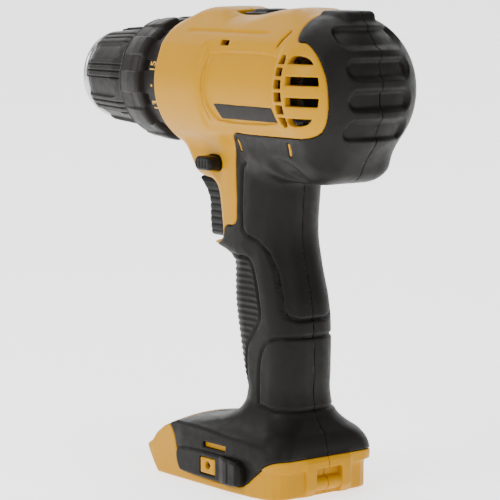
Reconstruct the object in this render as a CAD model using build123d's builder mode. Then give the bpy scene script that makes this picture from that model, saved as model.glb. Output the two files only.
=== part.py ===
from build123d import *
import os
from math import acos, cos, pi, radians, sin, tan

# A cordless drill driver without its battery. X points from the dome to the chuck,
# Y to the tool's left and Z up. The origin is on the ground under the middle of the tool.

# Overall layout along the spindle
AXIS_Z = 179.0
REAR_X = -95.0
BARREL_FRONT_X = 26.5
SLEEVE_REAR_X = 60.5
SLEEVE_FRONT_X = 94.5
NOSE_X = 97.5

# Housing
DOME_R = 33.0
BARREL_R = 31.5
BARREL_RIM_R = 30.5
SKIN = 1.6
WALL = 3.6
GRIP_WIDTH = 33.0
FRAME_HALF = 18.0
FOOT_HALF = 29.0
PAD_HALF = 34.0
SCREW_R = 1.7
BOSS_R = 3.7
SCREW_HEAD_R = 3.0

# Gears: one module and one ring size through all three stages
MODULE = 0.95
PRESSURE = radians(25)
ADDENDUM = 0.8 * MODULE
DEDENDUM = 1.0 * MODULE
FLANK_PLAY = 0.03
RING_TEETH = 42
SMALL_SUN = 12
LARGE_SUN = 18
SMALL_PLANET = 12
LARGE_PLANET = 15
PLANETS = 3
RING_OUTER_R = 22.9
CASE_INNER_R = 23.0
CASE_OUTER_R = 26.0
PLATE_R = 17.5
PIN_R = 1.8
RUNNING = 0.05

# The second ring gear, which slides, with the fork's groove
RING_2_REAR = -3.4
RING_2_FRONT = 3.9
GROOVE_REAR = -1.0
GROOVE_FRONT = 1.5
GROOVE_R = 21.5
# Planets of each stage: rear, front, sun teeth, planet teeth
STAGES = [
    (-14.8, -8.6, SMALL_SUN, LARGE_PLANET),
    (-4.6, 1.8, LARGE_SUN, SMALL_PLANET),
    (5.8, 12.4, SMALL_SUN, LARGE_PLANET),
]

# Motor
MOTOR_R = 18.5
CAN_INNER_R = 17.0
SHAFT_R = 2.5
CORE_R = 13.8
COMMUTATOR_R = 7.0

# Clutch and chuck
NOSE_TUBE_R = 13.0
SPINDLE_R = 6.0
COLLAR_BAND_R = 25.5
COLLAR_LOBE_R = 29.3
CHUCK_R = 18.4
JAW_R = 3.6
JAW_TILT = 20.0
BIT_R = 2.0
CLOSED_R = 0.75
JAW_TIP_X = 96.5
NUT_REAR_X = 78.8
NUT_FRONT_X = 84.4
JAW_LENGTH = 18.0

# Battery bay and trigger
BAY_HALF = 22.0
BAY_TOP = 8.0
TRIGGER_HALF = 9.8
GAP = 0.3

SPINDLE_AXIS = Axis((0, 0, AXIS_Z), (1, 0, 0))
SIDE = Plane(origin=(0, 0, 0), x_dir=(1, 0, 0), z_dir=(0, -1, 0))
AXIAL = Plane(origin=(0, 0, AXIS_Z), x_dir=(1, 0, 0), z_dir=(0, -1, 0))

# Handle sections: height, front, rear
HANDLE = [
    (148, 4, -56),
    (134, -1, -45),
    (112, -6, -42.4),
    (98, -8, -45.8),
    (84, -9.5, -49.4),
    (69, -12, -50.6),
    (54, -15, -50.8),
    (38, -17, -50.7),
    (26, -16, -53),
]
# Skirt sections where the handle spreads into the foot: height, front, rear, half width
SKIRT = [
    (14, 16, -57, 28.5),
    (20, 12, -56, 28),
    (27, 5, -54.5, 25.5),
    (34, -10, -52, 20.5),
    (42, -17, -50.8, 16.8),
]
# Ribs that carry the motor and the gear case: rear, front, inner radius
SADDLES = [(-81.4, -79.4, 8.05), (-62.5, -60, MOTOR_R), (-26, -23.5, MOTOR_R), (-12, -9.5, CASE_OUTER_R),
           (14, 17, CASE_OUTER_R)]
# Screws that clamp the housing halves: X, Z
SCREWS = [(-72, 150), (-34, 149), (8, 146.5), (-35, 101), (-36, 60), (-45, 25), (-2, 18.5), (-68, 204.8)]
# Depth of each screw head's seat from the parting plane, in the order of SCREWS
HEAD_FACES = [13, 12, 11, 10, 10, 14, 17, 13]


def station(x):
    """A plane square to the spindle axis, centred on it, facing the chuck."""
    return Plane(origin=(x, 0, AXIS_Z), x_dir=(0, 1, 0), z_dir=(1, 0, 0))


def save(piece, label):
    """Label a finished piece and write it as its own STEP file."""
    piece.label = label
    export_step(piece, f"parts/{label}.step")


def ring(rear, front, inner, outer):
    """A plain ring or disc on the spindle axis between two stations."""
    with BuildPart() as hoop:
        with BuildSketch(station(rear)):
            Circle(outer)
            if inner:
                Circle(inner, mode=Mode.SUBTRACT)
        extrude(amount=front - rear)
    return hoop.part


def turned(points):
    """A solid turned about the spindle axis from (x, radius) corners."""
    with BuildPart() as body:
        with BuildSketch(AXIAL):
            with BuildLine():
                Polyline(*points, close=True)
            make_face()
        revolve(axis=SPINDLE_AXIS)
    return body.part


def side_prism(points, half_width):
    """A prism across the tool from (x, z) corners."""
    with BuildPart() as prism:
        with BuildSketch(SIDE):
            with BuildLine():
                Polyline(*points, close=True)
            make_face()
        extrude(amount=half_width, both=True)
    return prism.part


def largest(builder):
    """The largest solid of a part, without the crumbs that a cut can leave."""
    return builder.part.solids().sort_by(SortBy.VOLUME)[-1]


def coil(base, height, radius, wire, turns):
    """A round-wire spring standing on a plane, with its first and last turns a wire's radius inside."""
    rise = height - 2 * wire
    with BuildPart() as spring:
        with BuildLine():
            centre = base.offset(wire).origin
            path = Helix(pitch=rise / turns, height=rise, radius=radius, center=centre, direction=base.z_dir)
        with BuildSketch(Plane(origin=path @ 0, z_dir=path % 0)):
            Circle(wire)
        sweep(is_frenet=True)
    return spring.part


# ---------------------------------------------------------------- housing


def barrel(inset):
    """The barrel and its domed rear end, turned about the spindle axis."""
    with BuildPart() as body:
        with BuildSketch(AXIAL):
            with BuildLine():
                Polyline(
                    (REAR_X + inset, 0),
                    (BARREL_FRONT_X, 0),
                    (BARREL_FRONT_X, BARREL_RIM_R - inset),
                    (0, BARREL_R - inset),
                    (-50, DOME_R - inset),
                    (-68, DOME_R - inset),
                )
                shoulder = (-84 + inset * 0.7, 27.6 - inset * 0.7)
                ThreePointArc((-68, DOME_R - inset), shoulder, (-92 + inset, 17))
                ThreePointArc((-92 + inset, 17), (-94.3 + inset, 9), (REAR_X + inset, 0))
            make_face()
        revolve(axis=SPINDLE_AXIS)
    return body.part


def pod(inset):
    """The rounded bulge under the dome that runs forward into the handle."""
    with BuildPart() as bulge:
        with BuildSketch(Plane.XY.offset(139 + inset)):
            with Locations((-60, 0)):
                RectangleRounded(50 - 2 * inset, 40 - 2 * inset, 15 - inset)
        with BuildSketch(Plane.XY.offset(150)):
            with Locations((-62, 0)):
                RectangleRounded(58 - 2 * inset, 52 - 2 * inset, 20 - inset)
        with BuildSketch(Plane.XY.offset(168)):
            with Locations((-60, 0)):
                RectangleRounded(60 - 2 * inset, 58 - 2 * inset, 20 - inset)
        loft()
    return bulge.part


def handle(inset):
    """The grip, a smooth loft through rounded sections."""
    with BuildPart() as grip:
        for height, front, rear in HANDLE:
            with BuildSketch(Plane.XY.offset(height)):
                with Locations(((front + rear) / 2, 0)):
                    RectangleRounded(front - rear - 2 * inset, GRIP_WIDTH - 2 * inset, 12 - inset)
        loft()
    return grip.part


def skirt(inset):
    """The spread of the handle into the foot."""
    with BuildPart() as flare:
        for height, front, rear, half in SKIRT:
            with BuildSketch(Plane.XY.offset(height)):
                with Locations(((front + rear) / 2, 0)):
                    RectangleRounded(front - rear - 2 * inset, 2 * (half - inset), 11 - inset)
        loft()
    return flare.part


def core_body(inset):
    """Everything the rubber skin follows: barrel, pod, handle and skirt."""
    with BuildPart() as core:
        add(barrel(inset))
        add(pod(inset))
        add(handle(inset))
        add(skirt(inset))
    return core.part


def ridge():
    """The flat-topped ridge along the barrel, with the notch for the speed selector."""
    with BuildPart() as hump:
        with BuildSketch(SIDE):
            with BuildLine():
                Polyline(
                    (26.5, 200), (26.5, 208.5), (24, 211.2), (15, 212.8), (-3, 212.8), (-8, 208.7),
                    (-30, 208.7),
                    (-34, 211.8), (-40, 212.8), (-48.5, 212.6), (-54, 209), (-62, 200), close=True,
                )
            make_face()
        extrude(amount=22, both=True)
        with BuildSketch(station(-70)):
            with BuildLine():
                Polyline((-21, 20), (-13, 34), (13, 34), (21, 20), close=True)
            make_face()
        extrude(amount=100, mode=Mode.INTERSECT)
    return hump.part


def trigger_frame():
    """The yellow frame between the barrel and the grip, open at the front for the trigger."""
    with BuildPart() as frame:
        add(side_prism(
            [(24, 160), (21.9, 152.5), (15.9, 144), (12.2, 138.8), (4, 136.7), (-2.6, 133.2), (-4.1, 125.3),
             (-5.5, 114.2), (-3, 110.5), (2.2, 109.2), (0.5, 106), (-7.2, 100), (-26, 100), (-30, 160)],
            FRAME_HALF,
        ))
        fillet(frame.edges().filter_by(Axis.Y).sort_by(Axis.X)[-2:], 2)
    return frame.part


def foot():
    """The foot: a slab with a raised prow, and two lugs with a latch bar at the rear."""
    with BuildPart() as slab:
        with BuildSketch(Plane.XY):
            with BuildLine():
                Polyline(
                    (37, 0), (36.4, 20), (34.5, 26.5), (30, FOOT_HALF), (-40, FOOT_HALF), (-52, 27),
                    (-57.5, 23), (-58.5, 12.5), (-62, 12.2), (-62, 0),
                )
                mirror(about=Plane.XZ)
            make_face()
        extrude(amount=27)
        with BuildSketch(SIDE):
            with BuildLine():
                Polyline(
                    (27, 0), (34, 8), (37, 12.5), (33, 20.5), (26, 25.6), (10, 26.4), (8, 24), (-52, 24),
                    (-58, 19), (-62, 15.5), (-62, 0), close=True,
                )
            make_face()
        extrude(amount=40, both=True, mode=Mode.INTERSECT)
        with Locations((-62, 0, 8)):
            Box(9, 14, 13, mode=Mode.SUBTRACT)
        with BuildSketch(SIDE):
            with Locations((-59, 6.5)):
                Circle(3.2)
        extrude(amount=7.5, both=True)
    return slab.part


def skin_region():
    """The side view of the rubber: dome, pod, grip and skirt."""
    return side_prism(
        [(-62, 230), (-63.5, 211), (-68.5, 199.5), (-75, 199.7), (-84.5, 192), (-88.3, 182), (-87, 170),
         (-80, 160), (-28, 159.5), (-15.5, 155), (-18, 148.6), (-19, 128.7), (-17.9, 118.9), (-13.5, 116.7),
         (-6, 113.5), (6, 113), (22, 100), (22, 40), (10.9, 21.2), (12, 16.5), (-110, 16.5), (-110, 230)],
        60,
    )


def battery_bay():
    """The space for the battery's rails: open below and in front, with a lip along each side."""
    with BuildPart() as bay:
        with BuildSketch(Plane.YZ.offset(-46)):
            with BuildLine():
                Polyline(
                    (-BAY_HALF, -5), (-BAY_HALF, 3.2), (-BAY_HALF - 2.6, 3.2), (-BAY_HALF - 2.6, BAY_TOP),
                    (BAY_HALF + 2.6, BAY_TOP), (BAY_HALF + 2.6, 3.2), (BAY_HALF, 3.2), (BAY_HALF, -5),
                    close=True,
                )
            make_face()
        extrude(amount=100)
    return bay.part


def vents():
    """Cooling openings beside the commutator: long slots in a window, and a column of short ones."""
    with BuildPart() as slots:
        with BuildSketch(SIDE):
            with Locations((-75, 195), (-75, 167)):
                SlotOverall(15, 3.6)
            with Locations((-76, 185.7), (-76, 176.3)):
                SlotOverall(20, 3.6)
            with GridLocations(1, 6.2, 1, 6):
                with Locations((-60.5, 181)):
                    Rectangle(3.4, 3.8)
        extrude(amount=50, both=True)
    return slots.part


def small_openings():
    """Openings for the trigger, the reversing button, the lamp and the speed selector."""
    with BuildPart() as cuts:
        with BuildSketch(SIDE):
            with BuildLine():
                Polyline((-15.6, 108.5), (30, 108.5), (30, 137.4), (-15.6, 137.4), close=True)
            make_face()
        extrude(amount=TRIGGER_HALF + 0.6, both=True)
        with BuildSketch(SIDE):
            with Locations((-2.5, 144.2)):
                SlotOverall(12.2, 7)
        extrude(amount=50, both=True)
        with BuildSketch(station(6)):
            with Locations((0, -31)):
                Circle(2.6)
        extrude(amount=30)
        with BuildSketch(Plane.XY.offset(202)):
            with Locations((-20, 0)):
                Rectangle(25, 18.6)
        extrude(amount=20)
        with Locations((-14.5, 0, 206)):
            Box(38, 10.8, 2.8)
    return cuts.part


def bosses():
    """Screw bosses across the housing."""
    with BuildPart() as posts:
        with BuildSketch(SIDE):
            with Locations(*SCREWS):
                Circle(BOSS_R)
        extrude(amount=40, both=True)
    return posts.part


def saddles():
    """Ribs inside the barrel that carry the motor and the gear case."""
    with BuildPart() as ribs:
        for rear, front, inner in SADDLES:
            with BuildSketch(station(rear)):
                Circle(DOME_R)
                Circle(inner, mode=Mode.SUBTRACT)
            extrude(amount=front - rear)
    return ribs.part


def screw_cuts():
    """Through holes on the screws' axes, with head pockets on the right side."""
    with BuildPart() as cuts:
        with BuildSketch(SIDE.offset(-26)):
            with Locations(*SCREWS):
                Circle(SCREW_R)
        extrude(amount=90)
        for (x, z), head_y in zip(SCREWS, HEAD_FACES):
            with BuildSketch(Plane(origin=(x, -head_y, z), x_dir=(1, 0, 0), z_dir=(0, -1, 0))):
                Circle(SCREW_HEAD_R + 0.2)
            extrude(amount=50)
    return cuts.part


def housing():
    """The two hard shells and the rubber skins over them."""
    outer = core_body(0)
    under_skin = core_body(SKIN)
    inside = core_body(WALL)
    region = skin_region()
    with BuildPart() as skin:
        add(outer)
        add(under_skin, mode=Mode.SUBTRACT)
        add(region, mode=Mode.INTERSECT)
        add(screw_cuts(), mode=Mode.SUBTRACT)
        add(small_openings(), mode=Mode.SUBTRACT)
    with BuildPart() as solid:
        add(outer)
        add(ridge())
        add(trigger_frame())
        add(foot())
    with BuildPart() as posts:
        add(inside)
        add(bosses(), mode=Mode.INTERSECT)
    with BuildPart() as carriers:
        add(inside)
        add(saddles(), mode=Mode.INTERSECT)
    with BuildPart() as hollow:
        add(inside)
        add(ring(-16, 30, 0, BARREL_RIM_R - WALL))
        add(posts.part, mode=Mode.SUBTRACT)
        add(carriers.part, mode=Mode.SUBTRACT)
        with BuildSketch(Plane.XY.offset(-1)):
            with Locations((-10, 0)):
                Rectangle(200, 100)
        extrude(amount=BAY_TOP + 3.5, mode=Mode.SUBTRACT)
    with BuildPart() as shell:
        add(solid.part)
        add(skin.part, mode=Mode.SUBTRACT)
        add(hollow.part, mode=Mode.SUBTRACT)
        add(battery_bay(), mode=Mode.SUBTRACT)
        add(terminal_block_solid(), mode=Mode.SUBTRACT)
        add(vents(), mode=Mode.SUBTRACT)
        add(small_openings(), mode=Mode.SUBTRACT)
        add(screw_cuts(), mode=Mode.SUBTRACT)
        add(label_solid(), mode=Mode.SUBTRACT)
        add(foot_pads(), mode=Mode.SUBTRACT)
        add(hook_holes(), mode=Mode.SUBTRACT)
    for side, sign in (("left", 1), ("right", -1)):
        with BuildPart() as half_space:
            with Locations((0, sign * 50, 110)):
                Box(260, 100, 260)
        with BuildPart() as half_shell:
            add(shell.part)
            add(half_space.part, mode=Mode.INTERSECT)
        save(largest(half_shell), f"shell_{side}")
        with BuildPart() as half_skin:
            add(skin.part)
            add(half_space.part, mode=Mode.INTERSECT)
        save(largest(half_skin), f"overmold_{side}")


def label_solid():
    """Name plates let into both flanks of the barrel, each a strip of a tube."""
    with BuildPart() as plates:
        with BuildSketch(AXIAL):
            with Locations((-37, 31.4)):
                Rectangle(42, 3.2)
        revolve(axis=SPINDLE_AXIS)
        with BuildSketch(SIDE):
            with BuildLine():
                Polyline((-16, 165.5), (-54, 165.5), (-57.5, 172), (-18, 172), close=True)
            make_face()
        extrude(amount=50, both=True, mode=Mode.INTERSECT)
        add(barrel(0), mode=Mode.INTERSECT)
    return plates.part


def foot_pads():
    """Rubber hook plates on both sides of the foot, each with a window for the hook's screw."""
    with BuildPart() as pads:
        with BuildSketch(SIDE):
            with BuildLine():
                Polyline((10, 5), (7, 16.3), (-37.8, 16.3), (-37.8, 3.6), (7, 3.6), close=True)
            make_face()
            with Locations((-13.5, 9.2)):
                Rectangle(11, 8, mode=Mode.SUBTRACT)
        extrude(amount=PAD_HALF, both=True)
        with Locations((-10, 0, 10)):
            Box(80, 2 * FOOT_HALF - 2, 40, mode=Mode.SUBTRACT)
    return pads.part


def hook_inserts():
    """Threaded sleeves in the foot for the belt hook's screw, one each side."""
    with BuildPart() as inserts:
        for sign in (1, -1):
            with BuildSketch(Plane(origin=(-13.5, sign * 24.9, 10.2), x_dir=(1, 0, 0), z_dir=(0, sign, 0))):
                Circle(2.0)
                Circle(SCREW_R, mode=Mode.SUBTRACT)
            extrude(amount=FOOT_HALF - 24.9)
    return inserts.part


def hook_holes():
    """The holes in the foot that take the threaded sleeves."""
    with BuildPart() as holes:
        for sign in (1, -1):
            with BuildSketch(Plane(origin=(-13.5, sign * 24.9, 10.2), x_dir=(1, 0, 0), z_dir=(0, sign, 0))):
                Circle(2.0)
            extrude(amount=8)
    return holes.part


def terminal_block_solid():
    """The block that carries the battery contacts, let into the roof of the bay."""
    with BuildPart() as block:
        with Locations((-35, 0, 8.2)):
            Box(20, 26, 12.4)
    return block.part


def electrics():
    """Contacts, leads, switch and lamp."""
    with BuildPart() as terminal_block:
        add(terminal_block_solid())
        with BuildSketch(Plane.YZ.offset(-25)):
            with GridLocations(7, 1, 4, 1):
                with Locations((0, 5)):
                    Rectangle(0.8, 4)
        extrude(amount=-8, mode=Mode.SUBTRACT)
    save(terminal_block.part, "terminal_block")
    with BuildPart() as terminal_blades:
        with BuildSketch(Plane.YZ.offset(-33)):
            with GridLocations(7, 1, 4, 1):
                with Locations((0, 5)):
                    Rectangle(0.8, 4)
        extrude(amount=16)
    save(terminal_blades.part, "terminal_blades")
    with BuildPart() as wires:
        for y in (-3, 3):
            with BuildLine():
                FilletPolyline(
                    (-30, y, 14.4), (-30, y, 20), (-26, y, 34), (-25.5, y, 60), (-26, y, 109.9), radius=4,
                )
            with BuildSketch(Plane(origin=(-30, y, 14.4), z_dir=(0, 0, 1))):
                Circle(1.1)
            sweep()
    save(wires.part, "battery_leads")
    with BuildPart() as switch_body:
        with Locations((-26.5, 0, 122)):
            Box(21, 17, 24)
        with BuildSketch(Plane.YZ.offset(-16)):
            with Locations((0, 124)):
                Circle(3.3)
        extrude(amount=-12, mode=Mode.SUBTRACT)
        fillet(switch_body.edges().filter_by(Axis.X), 1.2)
    save(switch_body.part, "switch_body")
    with BuildPart() as lamp:
        with BuildSketch(station(11.9)):
            with Locations((0, -31)):
                Circle(2.5)
        extrude(amount=7.1)
        fillet(lamp.edges().filter_by(GeomType.CIRCLE).sort_by(Axis.X)[-1], 1.2)
    save(lamp.part, "work_lamp")


def trigger_parts():
    """The trigger with its stem, and the spring that returns it."""
    with BuildPart() as trigger:
        with BuildSketch(SIDE):
            with BuildLine():
                Polyline((20, 135), (-4, 136.6))
                Polyline((-4, 136.6), (-4, 109.8))
                Polyline((-4, 109.8), (11.4, 109.8))
                Spline((11.4, 109.8), (13.4, 117), (13, 125), (15, 131), (20, 135))
            make_face()
        extrude(amount=TRIGGER_HALF, both=True)
        fillet(trigger.edges().filter_by(Axis.Y).sort_by(Axis.X)[-1:], 1)
        with BuildSketch(Plane.YZ.offset(-4)):
            with Locations((0, 124)):
                Circle(2.9)
        extrude(amount=-16)
    save(trigger.part, "trigger")
    spring_seat = Plane(origin=(-15.6, 0, 124), x_dir=(0, 1, 0), z_dir=(1, 0, 0))
    save(coil(spring_seat, 11.2, 4.6, 0.35, 5), "trigger_spring")
    with BuildPart() as reverse_button:
        with BuildSketch(Plane(origin=(0, -FRAME_HALF, 0), x_dir=(1, 0, 0), z_dir=(0, -1, 0))):
            with Locations((-2.5, 144.2)):
                SlotOverall(11.5, 6.3)
        extrude(amount=-(2 * FRAME_HALF + 7.5))
        fillet(reverse_button.faces().filter_by(Axis.Y).edges(), 1.2)
    save(reverse_button.part, "reverse_button")


def screws():
    """The screws that clamp the halves: pan heads with a socket, entering from the right."""
    with BuildPart() as housing_screws:
        for (x, z), head_y in zip(SCREWS, HEAD_FACES):
            seat = Plane(origin=(x, -head_y, z), x_dir=(1, 0, 0), z_dir=(0, -1, 0))
            with BuildSketch(seat):
                Circle(SCREW_HEAD_R)
            extrude(amount=2.2)
            with BuildSketch(seat):
                Circle(SCREW_R)
            extrude(amount=-(head_y + 7))
            with BuildSketch(seat.offset(1)):
                RegularPolygon(1.2, 6)
            extrude(amount=2, mode=Mode.SUBTRACT)
    save(housing_screws.part, "housing_screws")


# ---------------------------------------------------------------- motor


def motor():
    """The motor: can with magnets, end cap with brushes, bearings, and the rotor."""
    with BuildPart() as motor_can:
        add(turned([(-64, CAN_INNER_R), (-64, MOTOR_R), (-18, MOTOR_R), (-18, 8), (-16.2, 8), (-16.2, 5.1),
                    (-19.5, 5.1), (-19.5, CAN_INNER_R)]))
        with BuildSketch(SIDE):
            with Locations((-30, AXIS_Z)):
                SlotOverall(10, 5)
        extrude(amount=40, both=True, mode=Mode.SUBTRACT)
    save(motor_can.part, "motor_can")
    with BuildPart() as motor_magnets:
        with BuildSketch(station(-57)):
            Circle(CAN_INNER_R)
            Circle(14.4, mode=Mode.SUBTRACT)
            Rectangle(60, 9, mode=Mode.SUBTRACT)
        extrude(amount=24)
    save(motor_magnets.part, "motor_magnets")
    with BuildPart() as motor_end_cap:
        add(turned([(-64, 13.5), (-64, MOTOR_R), (-74, MOTOR_R), (-79, 12), (-79, 8), (-81.4, 8),
                    (-81.4, 5.1),
                    (-77, 5.1), (-77, 10), (-74, 13.5)]))
        with BuildSketch(SIDE):
            with Locations((-69, AXIS_Z + 13), (-69, AXIS_Z - 13)):
                Rectangle(7, 8)
        extrude(amount=40, both=True, mode=Mode.SUBTRACT)
        with BuildSketch(Plane.XY.offset(AXIS_Z - 20)):
            with Locations((-70.5, 0)):
                Rectangle(6, 5.4)
        extrude(amount=40, mode=Mode.SUBTRACT)
    save(motor_end_cap.part, "motor_end_cap")
    with BuildPart() as brushes:
        with BuildSketch(Plane.XY.offset(AXIS_Z + COMMUTATOR_R + 0.3)):
            with Locations((-70.5, 0)):
                Rectangle(5.8, 5.2)
        extrude(amount=11)
        mirror(about=Plane.XY.offset(AXIS_Z))
    save(brushes.part, "brushes")
    for label, rear in (("motor_front_bearing", -19.4), ("motor_rear_bearing", -81)):
        save(ring(rear, rear + 3, SHAFT_R + RUNNING, 5.1), label)
    save(ring(-85.5, -8.2, 0, SHAFT_R), "rotor_shaft")
    with BuildPart() as rotor_core:
        with BuildSketch(station(-56)):
            Circle(CORE_R)
            Circle(SHAFT_R, mode=Mode.SUBTRACT)
            with PolarLocations(9.4, 5):
                Rectangle(5.2, 4, mode=Mode.SUBTRACT)
            with PolarLocations(12.6, 5):
                Rectangle(3, 1.6, mode=Mode.SUBTRACT)
        extrude(amount=22)
    save(rotor_core.part, "rotor_core")
    with BuildPart() as rotor_windings:
        with BuildSketch(station(-56)):
            with PolarLocations(9.4, 5):
                Rectangle(5, 3.8)
        extrude(amount=22)
        bore = SHAFT_R + 0.5
        add(turned([(-61, 6), (-61, 11), (-59.5, 12.6), (-56, 12.6), (-56, bore), (-59, bore)]))
        add(turned([(-34, bore), (-34, 12.6), (-30.5, 12.6), (-29, 11), (-29, 6), (-31, bore)]))
    save(rotor_windings.part, "rotor_windings")
    with BuildPart() as commutator:
        add(ring(-75.5, -65, SHAFT_R, COMMUTATOR_R))
        with BuildSketch(station(-75.5)):
            with PolarLocations(COMMUTATOR_R, 10):
                Rectangle(0.8, 0.5)
        extrude(amount=10.5, mode=Mode.SUBTRACT)
    save(commutator.part, "commutator")
    with BuildPart() as fan:
        add(ring(-27.5, -26.5, SHAFT_R, 15.6))
        add(ring(-27.5, -22, SHAFT_R, 5))
        with BuildSketch(station(-26.5)):
            with PolarLocations(10, 9):
                Rectangle(10.6, 1)
        extrude(amount=4)
    save(fan.part, "cooling_fan")


# ---------------------------------------------------------------- gears


def gear_outline(teeth, tip, root, play):
    """Corners of a gear's outline with involute flanks; the first tooth is centred on the local X axis."""
    pitch = MODULE * teeth / 2
    base = pitch * cos(PRESSURE)

    def half_angle(radius):
        flank = acos(min(1, base / max(radius, base)))
        return pi / (2 * teeth) + play / pitch + tan(PRESSURE) - PRESSURE - tan(flank) + flank

    start = max(root, base)
    flank_radii = [start + (tip - start) * step / 3 for step in range(4)]
    if root < base:
        flank_radii.insert(0, root)
    corners = []
    for tooth in range(teeth):
        centre = 2 * pi * tooth / teeth
        for radius in flank_radii:
            angle = centre - half_angle(radius)
            corners.append((radius * cos(angle), radius * sin(angle)))
        for radius in reversed(flank_radii):
            angle = centre + half_angle(radius)
            corners.append((radius * cos(angle), radius * sin(angle)))
    return corners


def spur(rear, front, teeth, bore):
    """An external gear on the spindle axis."""
    pitch = MODULE * teeth / 2
    with BuildPart() as gear:
        with BuildSketch(station(rear)):
            with BuildLine():
                Polyline(*gear_outline(teeth, pitch + ADDENDUM, pitch - DEDENDUM, -FLANK_PLAY), close=True)
            make_face()
            if bore:
                Circle(bore, mode=Mode.SUBTRACT)
        extrude(amount=front - rear)
    return gear.part


def gear_plane(rear, turn):
    """A station whose local X axis is turned about the spindle, in degrees from the tool's left."""
    return Plane(origin=(rear, 0, AXIS_Z), x_dir=(0, cos(radians(turn)), sin(radians(turn))), z_dir=(1, 0, 0))


def ring_gear(rear, front, outer, turn):
    """An internal gear whose first tooth space is turned from the tool's left, in degrees."""
    pitch = MODULE * RING_TEETH / 2
    with BuildPart() as gear:
        with BuildSketch(gear_plane(rear, turn)):
            Circle(outer)
            with BuildLine():
                teeth = gear_outline(RING_TEETH, pitch + DEDENDUM, pitch - ADDENDUM, FLANK_PLAY)
                Polyline(*teeth, close=True)
            make_face(mode=Mode.SUBTRACT)
        extrude(amount=front - rear)
    return gear.part


def planet(rear, front, sun_teeth, teeth, place):
    """A planet gear at its place on the carrier, turned so that it meshes with a sun whose tooth is on Y."""
    distance = MODULE * (sun_teeth + teeth) / 2
    turn = place + 180 + place * sun_teeth / teeth - 180 / teeth
    angle = radians(place)
    hub = Plane(
        origin=(rear, distance * cos(angle), AXIS_Z + distance * sin(angle)),
        x_dir=(0, cos(radians(turn)), sin(radians(turn))),
        z_dir=(1, 0, 0),
    )
    pitch = MODULE * teeth / 2
    with BuildPart() as gear:
        with BuildSketch(hub):
            with BuildLine():
                Polyline(*gear_outline(teeth, pitch + ADDENDUM, pitch - DEDENDUM, -FLANK_PLAY), close=True)
            make_face()
            Circle(PIN_R + RUNNING, mode=Mode.SUBTRACT)
        extrude(amount=front - rear)
    return gear.part


def carrier(rear, front, pin_rear, sun_teeth, planet_teeth):
    """A carrier plate with the pins its planets turn on."""
    distance = MODULE * (sun_teeth + planet_teeth) / 2
    with BuildPart() as plate:
        add(ring(rear, front, 0, PLATE_R))
        with BuildSketch(station(pin_rear)):
            with PolarLocations(distance, PLANETS):
                Circle(PIN_R)
        extrude(amount=rear - pin_rear)
    return plate.part


def gearbox():
    """Three planetary stages in a case, and the spindle they turn."""
    save(ring(-17.9, -15.6, 8.1, RING_OUTER_R), "motor_plate")
    with BuildPart() as pinion:
        add(spur(-15.2, -8.6, SMALL_SUN, SHAFT_R))
    save(pinion.part, "motor_pinion")
    save(ring_gear(-15.5, -8.2, RING_OUTER_R, 0), "ring_gear_1")
    with BuildPart() as carrier_1:
        add(carrier(-8.2, -5.0, -14.8, SMALL_SUN, LARGE_PLANET))
        add(spur(-5.0, 1.8, LARGE_SUN, 0))
    save(carrier_1.part, "carrier_1")
    with BuildPart() as ring_gear_2:
        add(ring_gear(RING_2_REAR, RING_2_FRONT, RING_OUTER_R, 180 / RING_TEETH))
        add(ring(GROOVE_REAR, GROOVE_FRONT, GROOVE_R, 25), mode=Mode.SUBTRACT)
    save(ring_gear_2.part, "ring_gear_2")
    with BuildPart() as carrier_2:
        add(carrier(2.2, 5.2, -4.6, LARGE_SUN, SMALL_PLANET))
        add(spur(5.2, 12.4, SMALL_SUN, 0))
    save(carrier_2.part, "carrier_2")
    save(ring_gear(5.6, 12.6, RING_OUTER_R, 0), "ring_gear_3")
    for stage, (rear, front, sun_teeth, teeth) in enumerate(STAGES, start=1):
        for number in range(PLANETS):
            gear = planet(rear, front, sun_teeth, teeth, number * 360 / PLANETS)
            save(gear, f"planet_{stage}_{number + 1}")
    with BuildPart() as spindle:
        add(carrier(12.8, 15.8, 5.8, SMALL_SUN, LARGE_PLANET))
        add(ring(15.8, 72, 0, SPINDLE_R))
        add(ring(58, 73, 0, 2.6), mode=Mode.SUBTRACT)
    save(spindle.part, "spindle")
    with BuildPart() as spindle_bearings:
        add(ring(19, 25, SPINDLE_R + RUNNING, 9))
        add(ring(42, 50, SPINDLE_R + RUNNING, 9))
    save(spindle_bearings.part, "spindle_bearings")
    with BuildPart() as gear_case:
        add(turned([(-17.9, CASE_INNER_R), (-17.9, CASE_OUTER_R), (18.9, CASE_OUTER_R), (18.9, NOSE_TUBE_R),
                    (50, NOSE_TUBE_R), (50, 9), (18.9, 9), (18.9, 6.6), (16.4, 6.6), (16.4, CASE_INNER_R)]))
        with BuildSketch(Plane.XY.offset(AXIS_Z + 15)):
            with Locations((-1.6, 0)):
                Rectangle(7.4, 10.8)
        extrude(amount=20, mode=Mode.SUBTRACT)
        with BuildSketch(station(15)):
            with PolarLocations(20.4, 6):
                Circle(1.5)
        extrude(amount=5, mode=Mode.SUBTRACT)
    save(gear_case.part, "gear_case")


def speed_shift():
    """The speed selector on top of the ridge, and the fork that carries ring gear 2 with it."""
    with BuildPart() as speed_selector:
        with Locations((-20, 0, 208.8)):
            Box(16, 17.4, 4.2)
        fillet(speed_selector.edges().filter_by(Axis.Z), 2)
        with BuildSketch(Plane.XY.offset(210.9)):
            with GridLocations(3, 1, 4, 1):
                with Locations((-20, 0)):
                    Rectangle(1, 14)
        extrude(amount=-0.6, mode=Mode.SUBTRACT)
    save(speed_selector.part, "speed_selector")
    with BuildPart() as shift_fork:
        with Locations((-13.5, 0, 206.1)):
            Box(29.6, 8, 1.2)
        with Locations((0.25, 0, 203.8)):
            Box(2.1, 10, 5.8)
    save(shift_fork.part, "shift_fork")


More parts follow.
